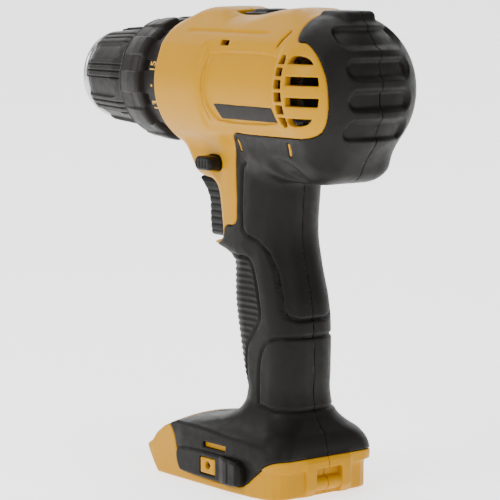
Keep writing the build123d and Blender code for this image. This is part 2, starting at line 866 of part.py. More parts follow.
def clutch():
    """The torque clutch: pins on ring gear 3, washer, spring, nut and the numbered collar."""
    with BuildPart() as clutch_pins:
        with BuildSketch(station(12.7)):
            with PolarLocations(20.4, 6):
                Circle(1.45)
        extrude(amount=7.8)
    save(clutch_pins.part, "clutch_pins")
    save(ring(20.6, 22.1, NOSE_TUBE_R + 0.2, 21.4), "clutch_washer")
    save(coil(station(22.3), 7.8, 17.4, 0.9, 3), "clutch_spring")
    with BuildPart() as clutch_nut:
        add(ring(30.3, 35.3, NOSE_TUBE_R + GAP, 21.6))
        with BuildSketch(station(30.3)):
            with PolarLocations(21.4, 4):
                Rectangle(2.8, 3)
        extrude(amount=5)
    save(clutch_nut.part, "clutch_nut")
    with BuildPart() as clutch_collar:
        add(turned([(23, 22), (23, 25), (27, 25), (27, COLLAR_BAND_R), (44, COLLAR_BAND_R), (44, 26),
                    (59.6, 26),
                    (59.6, 12.5), (57.6, 12.5), (57.6, 22)]))
        with BuildSketch(station(44.4)):
            with PolarLocations(COLLAR_LOBE_R - 6, 12):
                Circle(6)
            Circle(22, mode=Mode.SUBTRACT)
        extrude(amount=15.2, taper=4)
        with BuildSketch(station(23)):
            with PolarLocations(21.7, 4):
                Rectangle(3.2, 3.6)
        extrude(amount=30, mode=Mode.SUBTRACT)
    save(clutch_collar.part, "clutch_collar")


# ---------------------------------------------------------------- chuck


def jaw(turn):
    """A jaw: an inclined round bar with a seat for a bit, clear of its neighbours when they close."""
    lean = radians(JAW_TILT)
    tip = (JAW_TIP_X, 0, AXIS_Z + 2.6)
    direction = (cos(lean), 0, -sin(lean))
    start = tuple(point - JAW_LENGTH * step for point, step in zip(tip, direction))
    wedge = (BIT_R - CLOSED_R) + 0.17
    with BuildPart() as bar:
        with BuildSketch(Plane(origin=start, x_dir=(0, 1, 0), z_dir=direction)):
            Circle(JAW_R)
        extrude(amount=JAW_LENGTH + 3)
        with BuildSketch(station(50)):
            with BuildLine():
                Polyline((0, wedge), (26, wedge + 26 / tan(radians(60))), (26, 40), (-26, 40),
                         (-26, wedge + 26 / tan(radians(60))), close=True)
            make_face()
            Circle(BIT_R, mode=Mode.SUBTRACT)
        extrude(amount=JAW_TIP_X - 50, mode=Mode.INTERSECT)
    return bar.part.rotate(SPINDLE_AXIS, turn)


def jaw_bores():
    """The three inclined bores the jaws run in."""
    lean = radians(JAW_TILT)
    direction = (cos(lean), 0, -sin(lean))
    start = (JAW_TIP_X - 40 * cos(lean), 0, AXIS_Z + 2.6 + 40 * sin(lean))
    with BuildPart() as bore:
        with BuildSketch(Plane(origin=start, x_dir=(0, 1, 0), z_dir=direction)):
            Circle(JAW_R + RUNNING)
        extrude(amount=46)
    with BuildPart() as bores:
        for turn in (0, 120, 240):
            add(bore.part.rotate(SPINDLE_AXIS, turn))
    return bores.part


def chuck():
    """The keyless chuck: body on the spindle, screw, jaws, and the sleeve with its nut."""
    with BuildPart() as chuck_body:
        add(turned([
            (60.8, SPINDLE_R), (60.8, 14), (62.5, 14), (62.5, CHUCK_R), (NUT_REAR_X - GAP, CHUCK_R),
            (NUT_REAR_X - GAP, 12.6), (NUT_FRONT_X + GAP, 12.6), (NUT_FRONT_X + GAP, CHUCK_R),
            (SLEEVE_FRONT_X, CHUCK_R), (NOSE_X - 0.6, 17.4), (NOSE_X, 16.6), (NOSE_X, 6.6), (82.5, 6.6),
            (82.5, 4.6), (74, 4.6), (74, 3.1), (72, 3.1), (72, SPINDLE_R),
        ]))
        add(jaw_bores(), mode=Mode.SUBTRACT)
    save(chuck_body.part, "chuck_body")
    with BuildPart() as chuck_screw:
        add(ring(60, 74, 0, 2.6))
        add(ring(74, 77, 0, 4.3))
        with BuildSketch(station(77)):
            RegularPolygon(2, 6)
        extrude(amount=-2, mode=Mode.SUBTRACT)
    save(chuck_screw.part, "chuck_screw")
    with BuildPart() as chuck_sleeve:
        add(turned([
            (SLEEVE_REAR_X, 14.3), (SLEEVE_REAR_X, 22.6), (62, 23.6), (70, 23.6), (90, 22.2), (93.5, 21.2),
            (SLEEVE_FRONT_X, 20), (SLEEVE_FRONT_X, CHUCK_R + GAP), (62.2, CHUCK_R + GAP), (62.2, 14.3),
        ]))
        with BuildSketch(station(64)):
            with PolarLocations(24.4, 12):
                Rectangle(2.4, 3)
        extrude(amount=27, mode=Mode.SUBTRACT)
    save(chuck_sleeve.part, "chuck_sleeve")
    save(ring(NUT_REAR_X, NUT_FRONT_X, 13.3, CHUCK_R + GAP), "chuck_nut")
    for number, turn in enumerate((0, 120, 240), start=1):
        save(jaw(turn), f"jaw_{number}")


os.makedirs("parts", exist_ok=True)
housing()
save(label_solid(), "label_plates")
save(foot_pads(), "foot_pads")
save(hook_inserts(), "hook_inserts")
screws()
electrics()
trigger_parts()
motor()
gearbox()
speed_shift()
clutch()
chuck()
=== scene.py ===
import bpy
import math
import numpy as np
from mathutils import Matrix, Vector


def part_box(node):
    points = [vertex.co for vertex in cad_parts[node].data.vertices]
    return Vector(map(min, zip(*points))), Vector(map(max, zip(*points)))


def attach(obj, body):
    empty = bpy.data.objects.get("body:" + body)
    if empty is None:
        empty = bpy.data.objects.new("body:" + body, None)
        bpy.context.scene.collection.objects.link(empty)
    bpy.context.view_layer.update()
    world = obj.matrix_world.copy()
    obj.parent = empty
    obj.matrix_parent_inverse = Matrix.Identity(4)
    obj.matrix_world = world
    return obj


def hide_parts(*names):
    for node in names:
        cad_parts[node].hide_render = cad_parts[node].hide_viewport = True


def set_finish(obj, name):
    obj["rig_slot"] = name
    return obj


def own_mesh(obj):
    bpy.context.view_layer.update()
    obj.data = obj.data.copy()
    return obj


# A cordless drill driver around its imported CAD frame. Shapes are worked out in millimetres
# (X to the chuck, Y to the tool's left, Z up) and the meshes are made in metres.

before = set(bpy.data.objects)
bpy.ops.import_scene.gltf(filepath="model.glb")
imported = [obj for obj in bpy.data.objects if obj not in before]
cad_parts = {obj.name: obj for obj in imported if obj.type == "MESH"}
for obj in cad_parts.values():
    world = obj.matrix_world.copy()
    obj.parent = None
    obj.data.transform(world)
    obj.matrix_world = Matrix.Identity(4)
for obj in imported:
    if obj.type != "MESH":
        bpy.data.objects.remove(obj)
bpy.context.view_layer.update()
MM = 0.001
FINE = 0.62  # cell size of the larger field meshes
SHARP_ANGLE = math.radians(42)
VIEW_TURN = math.radians(51.8)  # from the tool's left round towards its rear, for the camera

# Places that several shapes share
AXIS_Z = 179.0
NOSE_X = 26.5
DOME_X = -69.5
DOME_R = 25.5
BUTTON_X = -2.5
BUTTON_Z = 144.2
SELECTOR_X = -20
SEAM = 0.04
NUMBER_X = 35
NUMBER_R = 25.5

# ------------------------------------------------------------------ field helpers
# A field gives the distance to a surface: negative inside, positive outside.


def smooth_union(a, b, k):
    """Both shapes, with the corner between them filled over the width k."""
    h = np.maximum(k - np.abs(a - b), 0) / k
    return np.minimum(a, b) - h * h * k / 4


def smooth_cut(a, b, k):
    """The part of a outside b, with a soft edge."""
    return -smooth_union(-a, b, k)


def round_join(a, b, radius):
    """The intersection of two fields with a circular edge."""
    outside = np.hypot(np.maximum(a + radius, 0), np.maximum(b + radius, 0))
    return np.minimum(np.maximum(a, b), -radius) + outside


def rounded(points, times=3, keep=()):
    """Corners of a closed outline cut to a smooth curve; those numbered in keep stay sharp."""
    points = [np.array(point, float) for point in points]
    sharp = [index in keep for index in range(len(points))]
    for _ in range(times):
        cut, cut_sharp = [], []
        for index, point in enumerate(points):
            before = points[index - 1]
            after = points[(index + 1) % len(points)]
            if sharp[index]:
                cut.append(point)
                cut_sharp.append(True)
            else:
                cut += [point * 0.75 + before * 0.25, point * 0.75 + after * 0.25]
                cut_sharp += [False, False]
        points, sharp = cut, cut_sharp
    return np.array(points)


def outline(points, u, v):
    """Signed distance to a closed outline in a plane."""
    distance = np.full(np.broadcast(u, v).shape, 1e9)
    sign = np.ones(distance.shape)
    for index in range(len(points)):
        a = points[index - 1]
        b = points[index]
        edge = b - a
        du = u - a[0]
        dv = v - a[1]
        along = np.clip((du * edge[0] + dv * edge[1]) / max(edge @ edge, 1e-12), 0, 1)
        distance = np.minimum(distance, (du - edge[0] * along) ** 2 + (dv - edge[1] * along) ** 2)
        above_a = v >= a[1]
        above_b = v >= b[1]
        turn = edge[0] * dv - edge[1] * du
        sign = np.where((above_b & ~above_a & (turn > 0)) | (~above_b & above_a & (turn < 0)),
                        -sign, sign)
    return sign * np.sqrt(distance)


def path(points, u, v):
    """Distance to an open line through points in a plane."""
    distance = np.full(np.broadcast(u, v).shape, 1e9)
    for a, b in zip(points[:-1], points[1:]):
        a = np.array(a, float)
        edge = np.array(b, float) - a
        du = u - a[0]
        dv = v - a[1]
        along = np.clip((du * edge[0] + dv * edge[1]) / max(edge @ edge, 1e-12), 0, 1)
        distance = np.minimum(distance, (du - edge[0] * along) ** 2 + (dv - edge[1] * along) ** 2)
    return np.sqrt(distance)


def block(x, y, z, centre, half, radius):
    """A box with rounded edges."""
    q = [np.abs(value - middle) - size + radius for value, middle, size in zip((x, y, z), centre, half)]
    outside = np.sqrt(sum(np.maximum(side, 0) ** 2 for side in q))
    return outside + np.minimum(np.maximum(np.maximum(q[0], q[1]), q[2]), 0) - radius


def groove(distance, width, depth):
    """How much a groove of round section lowers the surface at a distance from its line."""
    return depth * np.exp(-((distance / (0.5 * width)) ** 2))


def eased(t):
    """A value from 0 to 1 with a level start and end."""
    return t * t * (3 - 2 * t)


def step_up(distance, width):
    """0 well outside an outline and 1 well inside, changing over the width."""
    return eased(np.clip(0.5 - distance / width, 0, 1))


def blend_table(z, rows, column):
    """A smooth value along the height, from rows that start with a height."""
    rows = sorted(rows)
    heights = np.array([row[0] for row in rows], float)
    values = np.array([row[column] for row in rows], float)
    slopes = np.gradient(values, heights)
    z = np.clip(z, heights[0], heights[-1])
    cell = np.clip(np.searchsorted(heights, z) - 1, 0, len(rows) - 2)
    gap = heights[cell + 1] - heights[cell]
    t = (z - heights[cell]) / gap
    return (
        (2 * t**3 - 3 * t**2 + 1) * values[cell]
        + (t**3 - 2 * t**2 + t) * gap * slopes[cell]
        + (3 * t**2 - 2 * t**3) * values[cell + 1]
        + (t**3 - t**2) * gap * slopes[cell + 1]
    )


# ------------------------------------------------------------------ housing shape

# Grip sections: height, front, rear, half width
GRIP = [
    (150, 2, -50, 18),
    (140, -1, -44.6, 17.2),
    (128, -3, -43.0, 16.6),
    (112, -5.5, -42.6, 16.3),
    (98, -6.8, -45.6, 16.5),
    (84, -7.6, -49.2, 16.8),
    (69, -10.2, -50.6, 16.6),
    (54, -13.2, -50.7, 16.2),
    (43, -15.8, -50.4, 16.3),
    (38, -14.6, -51.2, 17.0),
    (34, -11.5, -52.6, 18.8),
    (30.5, -4, -55.2, 21.8),
    (27.5, 9, -57.6, 25.4),
    (24, 15.5, -59.2, 27.8),
    (19, 15, -60.2, 29),
    (12, 13, -60.2, 29),
]
POD_SIDE = rounded([
    (-84, 175), (-83.5, 146), (-77, 139.4), (-64, 138.2), (-50, 138.2), (-20, 140), (-20, 175),
], 3)
FRAME_SIDE = rounded([
    (27, 172), (25.5, 156), (22.5, 152), (15.9, 142.5), (13.2, 138.6), (8, 137), (1.5, 136.4),
    (-3.2, 132.5), (-4.6, 124), (-6, 114.2), (-5.2, 110.4), (1.4, 108.9), (0, 107), (-30, 100),
    (-34, 172),
], 2)
RIDGE_SIDE = rounded([
    (27, 190), (27, 201.5), (21.5, 206.5), (14, 211.6), (6, 213.2), (-3, 213.0), (-9.5, 209.8),
    (-13, 207.2), (-25, 207.2), (-35, 211), (-46, 213.2), (-55, 212.9), (-65, 205), (-72, 190),
], 2, keep=(0, 13))
FOOT_SIDE = rounded([
    (27.4, 0), (35, 8.6), (37, 12.5), (33.4, 20.5), (26, 25.8), (12, 27), (-52, 24), (-58.4, 19),
    (-62, 15.4), (-62, 1.6), (-50, 0),
], 1, keep=(0,))
FOOT_PLAN = rounded([
    (37, 0), (36.7, 18), (35.6, 28), (28, 29), (-38, 29), (-52, 27), (-58, 23), (-58.4, 13),
    (-62, 12.4), (-62, -1),
], 1, keep=(0, 2, 8, 9))
# The rubber covers what lies inside this outline; the yellow shows outside it
SKIN_SIDE = rounded([
    (-62, 240), (-63, 213), (-66.5, 203.5), (-69.5, 199.4), (-75.5, 199.9), (-84, 193),
    (-88.6, 182), (-87.5, 168), (-80.5, 159.4), (-60, 159.2), (-33, 159), (-26, 159.6),
    (-19.5, 153), (-18.9, 140), (-19.2, 126), (-18.6, 117.2), (-9.5, 117.4), (-7.6, 110),
    (-1, 107.2), (8, 107), (26, 100), (24.5, 28.5), (19, 25.2), (14.6, 21.5), (12, 14), (11, 4),
    (-31, 3), (-38, 5), (-45, 11), (-52, 16.2), (-57.5, 18.4), (-64, 18.6), (-120, 18.6),
    (-120, 240),
], 2)


def housing_body(x, y, z):
    """The outside of both halves and the rubber, before surface details."""
    side = np.abs(y)
    r = np.hypot(y, z - AXIS_Z)
    radius = np.interp(x, [-70, -50, 0, 26.5], [33, 33, 31.9, 30.7])
    qx = DOME_X - x
    qr = r - radius + DOME_R
    barrel = np.hypot(np.maximum(qx, 0), np.maximum(qr, 0)) + np.minimum(np.maximum(qx, qr), 0)
    barrel = barrel - DOME_R
    pod = round_join(outline(POD_SIDE, x, z), side - 22.5, 13)
    front = blend_table(z, GRIP, 1)
    rear = blend_table(z, GRIP, 2)
    half = blend_table(z, GRIP, 3)
    steep = blend_table(z + 0.5, GRIP, 1) - blend_table(z - 0.5, GRIP, 1)
    forward = np.clip((x - (front + rear) / 2) / 12, 0, 1)
    corner = np.interp(z, [20, 30, 40, 150], [9, 12, 12.5, 14])
    qx = np.abs(x - (front + rear) / 2) - (front - rear) / 2 + corner
    qy = side - half + corner
    grip = np.hypot(np.maximum(qx, 0), np.maximum(qy, 0)) + np.minimum(np.maximum(qx, qy), 0) - corner
    grip = grip / (1 + (np.hypot(1, steep) - 1) * forward)
    grip = np.maximum(np.maximum(grip, z - 160), 14 - z)
    frame_block = round_join(outline(FRAME_SIDE, x, z), side - 18, 4.5)
    ridge_edge = 13.5 + np.clip((212.5 - z) * 0.75, 0, 12)
    ridge = round_join(outline(RIDGE_SIDE, x, z), (side - ridge_edge) * 0.8, 3)
    falling = 8.5 * (side / 29) ** 2 * np.clip((x - 12) / 22, 0, 1) * np.clip((z - 11) / 3, 0, 1)
    foot = round_join(outline(FOOT_SIDE, x, z + falling) * 0.9, outline(FOOT_PLAN, x, side), 1.1)
    body = smooth_union(barrel, pod, 5)
    body = smooth_union(body, smooth_union(grip, frame_block, 5), 3.5)
    body = smooth_union(body, ridge, 4)
    body = round_join(body, x - NOSE_X, 1.2)
    return smooth_union(body, foot, 2.5)


PANEL_SIDE = rounded([
    (-12, 192), (-14, 194.3), (-61, 194.6), (-60.4, 190), (-60, 179), (-60.5, 169),
    (-61.5, 164.4), (-18.5, 163.6), (-14.5, 167), (-12, 172), (-11, 179), (-11.4, 186),
], 1)
WINDOW_SIDE = rounded([
    (-68.8, 194.2), (-78, 194.2), (-82.2, 190.8), (-84.8, 185.5), (-85.6, 179.6),
    (-84.9, 173.8), (-82.3, 168.6), (-78.2, 165), (-68.6, 164.7), (-69.6, 171), (-70, 179.5),
    (-69.6, 188),
], 2)
BAR_HEIGHTS = (188.3, 179.5, 170.7)
BAR_HALF = 2.55
SLOT_COLUMN = rounded([
    (-63.6, 194.6), (-67, 194.2), (-66.6, 187), (-66.9, 179.5), (-67.6, 171), (-68.6, 164.4),
    (-64.6, 164.2), (-62.8, 171), (-61.9, 179.5), (-62, 187),
], 1)
SLOT_RIBS = (189.9, 184.9, 179.6, 174.2, 169)
RIB_HALF = 0.75
THUMB_LINE = [
    (-27, 146.2), (-24.2, 145), (-23.4, 141), (-22.4, 126), (-22.9, 116.5), (-25.4, 113.8),
    (-31, 111.2), (-36.2, 106.6), (-40, 99.7), (-43.7, 88), (-44.6, 82.5), (-46.4, 79.2),
    (-49, 77.6), (-70, 77),
]
FINGER_SIDE = rounded([
    (-6, 104.5), (-22, 104), (-26.5, 102), (-29.5, 95), (-32, 86), (-33.8, 78), (-30, 72.5),
    (-25, 67), (-22.5, 61), (-22.3, 42), (0, 40), (4, 104),
], 2)
LOWER_SIDE = rounded([
    (-62, 70.4), (-42, 69.8), (-36.5, 67), (-31.6, 58.6), (-31.4, 39.5), (-34, 37.9), (-62, 37.4),
], 2)
LABEL_SIDE = rounded([(-16.4, 171.8), (-58, 171.9), (-59.7, 165.5), (-20, 165.2)], 1,
                     keep=(0, 1, 2, 3))
SKIN = 1.6  # thickness of the rubber
WALL = 3.4  # from the outside of the rubber to the hollow
CREVICE = 0.14  # from the yellow's edge to the rubber's
TRIGGER_HALF = 9.8
# Screw heads on the right side: x, z and how far from the middle plane they sit
SCREWS = [
    (-72, 150, 13), (-34, 149, 12), (8, 146.5, 11), (-35, 101, 10), (-36, 60, 10), (-45, 25, 14),
    (-2, 18.5, 17), (-68, 204.8, 13),
]


def dome_relief(x, z, side):
    """How much the grooves round the dome lower the rubber."""
    lower = 0
    for height in (201.5, 188.8, 175.8, 163.2):
        groove_line = np.hypot(np.maximum(side - 12.5, 0), z - height)
        lower = lower + 2.0 * step_up(groove_line - 3.9, 2.8) * step_up(x + 78, 5)
    return lower


def grip_relief(x, z, side):
    """The grooves and ribbed pads of the grip, and the hollow for the hand behind the pod."""
    on_grip = step_up(z - 149, 4) * step_up(34 - z, 4)
    lower = groove(path(THUMB_LINE, x, z), 1.5, 1.1)
    finger = outline(FINGER_SIDE, x, z)
    lower = lower + groove(finger, 1.5, 1.0) * step_up(x + 12, 6)
    ribs = 0.5 - 0.5 * np.cos(2 * math.pi * z / 2.7)
    lower = lower + 0.45 * ribs * step_up(finger + 1.5, 1.5)
    lower = lower + groove(outline(LOWER_SIDE, x, z), 1.4, 1.0)
    lower = lower * on_grip
    u = (x + 56.5) * 0.97 + (z - 144.6) * 0.24
    v = (z - 144.6) * 0.97 - (x + 56.5) * 0.24
    dimple = 2.3 * np.exp(-(((u / 9.5) ** 2 + (v / 4.3) ** 2) ** 2))
    return lower + dimple * step_up(8 - side, 4)


def flank_relief(x, z, side):
    """The recessed panel on the barrel's flank with the shoulders and grooves around it."""
    panel = outline(PANEL_SIDE, x, z)
    facing = step_up(15 - side, 4)
    lower = 1.1 * step_up(panel, 1.2)
    height = z - AXIS_Z
    front_arc = np.hypot(x + 62, height * 1.15) - 52.5
    in_arc = step_up(np.abs(height) - 14.5, 2) * step_up(-x - 30, 2)
    lower = lower + groove(front_arc, 0.9, 0.8) * in_arc
    waist = step_up(x + 7.5, 3.4) * step_up(np.abs(height) - 18.5, 4) * step_up(-x - 62, 3)
    lower = lower + 0.8 * waist
    ledge = np.abs(z - 202.6) + 0 * x
    lower = lower + groove(ledge, 1.5, 0.7) * step_up(x - 10, 6) * step_up(-x - 48, 8)
    return lower * facing


def openings(x, z, side):
    """Everything cut through the wall: vents, trigger, reversing bar, selector and lamp.

    Adding 0 * x, or 0 * side, brings a field of one plane to the shape of the others.
    """
    bars = np.full(np.broadcast(x, z).shape, 1e9)
    for height in BAR_HEIGHTS:
        bars = np.minimum(bars, np.abs(z - height) - BAR_HALF + 0 * x)
    window = np.maximum(outline(WINDOW_SIDE, x, z), -bars)
    ribs = np.full(np.broadcast(x, z).shape, 1e9)
    for height in SLOT_RIBS:
        ribs = np.minimum(ribs, np.abs(z - height) - RIB_HALF + 0 * x)
    slots = np.maximum(outline(SLOT_COLUMN, x, z), -ribs)
    through = np.minimum(window, slots)
    small = block(x, side, z, (-20.4, 26, 198.1), (3, 6, 1.15), 0.3)
    slit = path([(-57.6, 197.6), (-60.8, 203.6)], x, z) - 0.75
    slit = np.maximum(np.maximum(slit, 18 - side), 0 * x)
    cut = np.minimum(np.maximum(through, 16 - side), np.minimum(small, slit))
    trigger = block(x, side, z, (7.2, 0, 123), (22.8, TRIGGER_HALF + 0.6, 14.4), 1)
    button = np.hypot(np.maximum(np.abs(x - BUTTON_X) - 2.6, 0), z - BUTTON_Z) - 3.5 + 0 * side
    selector = block(x, side, z, (SELECTOR_X, 0, 212), (12.5, 9.3, 5), 0.8)
    selector = np.minimum(selector, block(x, side, z, (SELECTOR_X, 0, 204), (9, 5.4, 6), 0.3))
    lamp = np.maximum(np.hypot(side, z - 148) - 2.7, 8 - x)
    for shape in (trigger, button, selector, lamp):
        cut = np.minimum(cut, shape)
    return cut


def foot_openings(x, side, z):
    """The battery bay, the contact block's seat, the hook's hole and slot, and the latch's recess."""
    bay = block(x, side, z, (4, 0, 0), (50, 22, 8), 0.3)
    bay = np.minimum(bay, block(x, side, z, (4, 0, 5.6), (50, 24.6, 2.4), 0.3))
    bay = np.maximum(bay, -46 - x)
    seat = block(x, side, z, (-35, 0, 14.4), (10.1, 13.1, 6.3), 0.2)
    hook = np.maximum(np.hypot(x + 13.5, z - 10.2) - 1.75, 24.9 - side)
    slot = block(x, side, z, (-16.6, 31, 19.1), (7.6, 3.2, 0.9), 0.4)
    latch = block(x, side, z, (-62, 0, 5.4), (4.4, 7.2, 8.2), 1.0)
    latch = np.maximum(latch, 3.3 - np.hypot(x + 57.6, z - 6.2))
    cut = np.minimum(np.minimum(bay, seat), np.minimum(hook, slot))
    return np.minimum(cut, latch)


def screw_pockets(x, y, z):
    """Pockets for the screw heads, on the right side only."""
    cut = np.full(np.broadcast(x, y, z).shape, 1e9)
    for px, pz, depth in SCREWS:
        cut = np.minimum(cut, np.maximum(np.hypot(x - px, z - pz) - 3.3, depth + y))
    return cut


def housing_parts(x, y, z):
    """The fields that the shells, the rubber and the label share."""
    side = np.abs(y)
    plain = housing_body(x, y, z)
    skin = outline(SKIN_SIDE, x, z)
    slivers = np.minimum(path([(-26.3, 156), (-25.6, 151.6)], x, z),
                         path([(-62.6, 156.2), (-61.8, 151.8)], x, z)) - 0.8
    skin = np.maximum(skin, -slivers)
    in_window = np.maximum(np.abs(x + 13.5) - 5.9, np.abs(z - 9.9) - 4.3)
    in_slot = np.maximum(np.abs(x + 16.6) - 8, np.abs(z - 19.1) - 1.15)
    skin = np.maximum(skin, -np.minimum(in_window, in_slot))
    rubber = dome_relief(x, z, side) + grip_relief(x, z, side)
    hard = flank_relief(x, z, side)
    return side, plain, skin, rubber, hard


def shell(x, y, z, sign):
    """One yellow half: what shows outside the rubber, and the wall under it."""
    side, plain, skin, rubber, hard = housing_parts(x, y, z)
    shown = round_join(plain + hard, CREVICE - skin, 0.45)
    under = np.maximum(plain + SKIN + 0.1 + np.maximum(rubber, 0), skin - 0.8)
    boss = block(x, side, z, (-13.5, 29.2, 9.9), (5.2, 1.7, 3.5), 0.5)
    outer = np.minimum(np.minimum(shown, under), boss)
    hollow = np.maximum(plain + WALL, 11.8 - z)
    hollow = np.maximum(hollow, np.minimum(-54 - x, 24 - z))
    nose = np.maximum(np.hypot(y, z - AXIS_Z) - 26.9, -16 - x)
    solid = smooth_cut(outer, openings(x, z, side), 0.7)
    solid = np.maximum(solid, -np.minimum(hollow, nose))
    solid = smooth_cut(solid, foot_openings(x, side, z), 0.5)
    solid = np.where(y < 0, np.maximum(solid, -screw_pockets(x, y, z)), solid)
    return round_join(solid, SEAM - sign * y, 0.3)


def overmold(x, y, z, sign):
    """The rubber over one half, with the raised pad on top of the dome."""
    side, plain, skin, rubber, _ = housing_parts(x, y, z)
    top_pad = block(x, y, z, (-71.5, 0, 207), (10, 8.5, 5.7), 2.6)
    outer = round_join(smooth_union(plain + rubber, top_pad, 1.4), skin, 0.6)
    solid = np.maximum(outer, -(plain + SKIN + np.maximum(rubber, 0)))
    solid = np.maximum(solid, -openings(x, z, side))
    solid = np.where(y < 0, np.maximum(solid, -screw_pockets(x, y, z)), solid)
    return round_join(solid, SEAM - sign * y, 0.3)


def label(x, y, z):
    """The plain dark strip let into the flank panel."""
    _, plain, _, _, hard = housing_parts(x, y, z)
    face = plain + hard
    return np.maximum(round_join(face - 0.14, outline(LABEL_SIDE, x, z), 0.2), -(face + 1.4))


def trigger(x, y, z):
    """The trigger's finger piece, dished in front, with its stem."""
    side = np.abs(y)
    beak = np.clip((z - 124) / 11.5, 0, 1) ** 1.8
    tail = np.clip((121 - z) / 11, 0, 1) ** 2
    front = 13.3 + 7.5 * beak - 1.2 * tail
    face = round_join(np.maximum(x - front, -4 - x) * 0.9, np.abs(z - 123.1) - 13.3, 1.6)
    piece = round_join(face, side - TRIGGER_HALF, 2.6)
    line = np.abs(np.mod(z, 3) - 1.5)
    piece = piece + 0.25 * groove(line, 0.9, 1) * step_up(112 - z, 2) * step_up(z - 133, 2)
    stem = np.maximum(np.hypot(y, z - 124) - 2.9, np.abs(x + 12) - 8)
    return np.minimum(piece, stem)


def reverse_button(x, y, z):
    """The reversing button, a rounded bar through the frame with a pattern of ribs on its ends."""
    section = np.hypot(np.maximum(np.abs(x - BUTTON_X) - 2.6, 0), z - BUTTON_Z) - 3.15
    ends = np.abs(y - 3.75) - 21.75
    line = np.abs(np.mod(x - BUTTON_X, 2.2) - 1.1)
    ribs = 0.25 * groove(line, 1, 1) * step_up(np.abs(z - BUTTON_Z) - 1.8, 0.8)
    return round_join(section, ends + ribs, 1.3)


def speed_selector(x, y, z):
    """The sliding speed selector with raised grip ribs."""
    plate = block(x, y, z, (SELECTOR_X, 0, 208.8), (8, 8.7, 2.1), 0.7)
    hump = block(x, y, z, (-20.8, 0, 208.4), (6.6, 8.3, 4.2), 3.4)
    ribs = groove(np.abs(np.mod(x + 20.8, 2.2) - 1.1), 0.9, 0.45) * step_up(209.6 - z, 1.5)
    return smooth_union(plate, hump + ribs, 0.8)


PAD_SIDE = rounded([
    (9.6, 5.6), (11.8, 12), (9, 16.2), (-35.4, 16.2), (-38, 13.4), (-38, 6.4), (-35.6, 3.7),
    (7.4, 3.7),
], 2)


def foot_pad(x, y, z):
    """The hook plate on the foot's flank, with a window round the screw hole."""
    side = np.abs(y)
    face = np.interp(x, [-38, -36, -27, -22, 12], [32.4, 33.4, 32.8, 31.0, 30.6])
    line = groove(x + 30.4, 0.8, 0.5) * step_up(np.abs(z - 10) - 4.6, 1)
    plate = round_join(outline(PAD_SIDE, x, z), side - face + line, 1.4)
    window = block(x, side, z, (-13.5, 30, 9.9), (5.6, 6, 3.9), 1)
    return np.maximum(smooth_cut(plate, window, 0.6), 28.5 - side)


# ------------------------------------------------------------------ mesh making


def mesh_object(name, points, faces):
    """An object from points in millimetres and faces with four corners."""
    mesh = bpy.data.meshes.new(name)
    points = np.asarray(points, np.float32) * MM
    faces = np.asarray(faces, np.int32)
    mesh.vertices.add(len(points))
    mesh.vertices.foreach_set("co", points.ravel())
    mesh.loops.add(faces.size)
    mesh.loops.foreach_set("vertex_index", faces.ravel())
    mesh.polygons.add(len(faces))
    mesh.polygons.foreach_set("loop_start", np.arange(len(faces), dtype=np.int32) * faces.shape[1])
    mesh.update(calc_edges=True)
    mesh.validate()
    mesh.shade_smooth()
    mesh.set_sharp_from_angle(angle=SHARP_ANGLE)
    piece = bpy.data.objects.new(name, mesh)
    bpy.context.scene.collection.objects.link(piece)
    return piece


def skinned(field, low, high, step):
    """Points and quads on the zero surface of a field: surface nets, then two steps towards it."""
    axes = [np.arange(a - step, b + 2 * step, step) for a, b in zip(low, high)]
    x, y, z = np.ix_(*axes)
    values = np.broadcast_to(field(x, y, z), [len(axis) for axis in axes]).astype(np.float32)
    inside = values < 0
    shape = np.array(values.shape)
    strides = np.array([shape[1] * shape[2], shape[2], 1])
    total = np.zeros((3, values.size), np.float32)
    count = np.zeros(values.size, np.int16)
    quads = []
    for axis in range(3):
        first = [slice(None)] * 3
        second = [slice(None)] * 3
        first[axis] = slice(None, -1)
        second[axis] = slice(1, None)
        crossing = np.argwhere(inside[tuple(first)] != inside[tuple(second)])
        others = [other for other in range(3) if other != axis]
        room = (crossing[:, others] > 0).all(1) & (crossing[:, others] < shape[others] - 1).all(1)
        crossing = crossing[room]
        start = crossing @ strides
        a = values.ravel()[start]
        b = values.ravel()[start + strides[axis]]
        point = crossing.T.astype(np.float32)
        point[axis] += a / (a - b)
        u, v = others if axis != 1 else others[::-1]
        cells = [start, start - strides[u], start - strides[u] - strides[v], start - strides[v]]
        for cell in cells:
            for row in range(3):
                np.add.at(total[row], cell, point[row])
            np.add.at(count, cell, 1)
        flip = (a < 0)[:, None]
        quad = np.stack(cells, 1)
        quads.append(np.where(flip, quad, quad[:, ::-1]))
    used = np.flatnonzero(count)
    index = np.zeros(values.size, np.int32)
    index[used] = np.arange(len(used))
    origin = np.array([axis[0] for axis in axes])
    cell_points = (total[:, used] / count[used]).T
    points = origin + cell_points * step
    quads = index[np.concatenate(quads)]
    for _ in range(2):
        value = field(points[:, 0], points[:, 1], points[:, 2])
        nudges = step * 0.25 * np.eye(3)
        slope = np.stack([(field(*(points + nudge).T) - value) / (step * 0.25) for nudge in nudges], 1)
        move = value[:, None] * slope / np.maximum((slope**2).sum(1), 0.25)[:, None]
        points = points - np.clip(move, -0.5 * step, 0.5 * step)
    return points, quads


def field_piece(name, field, low, high, step):
    return mesh_object(name, *skinned(field, low, high, step))


def ring_mesh(name, x, r, angle):
    """A closed ring about the spindle axis from grids of station, radius and angle."""
    points = np.stack([x, r * np.sin(angle), AXIS_Z + r * np.cos(angle)], -1)
    index = np.arange(x.size).reshape(x.shape)
    ahead = np.roll(index, -1, 0)
    quads = np.stack([index, np.roll(index, -1, 1), np.roll(ahead, -1, 1), ahead], -1)
    return mesh_object(name, points.reshape(-1, 3), quads.reshape(-1, 4))


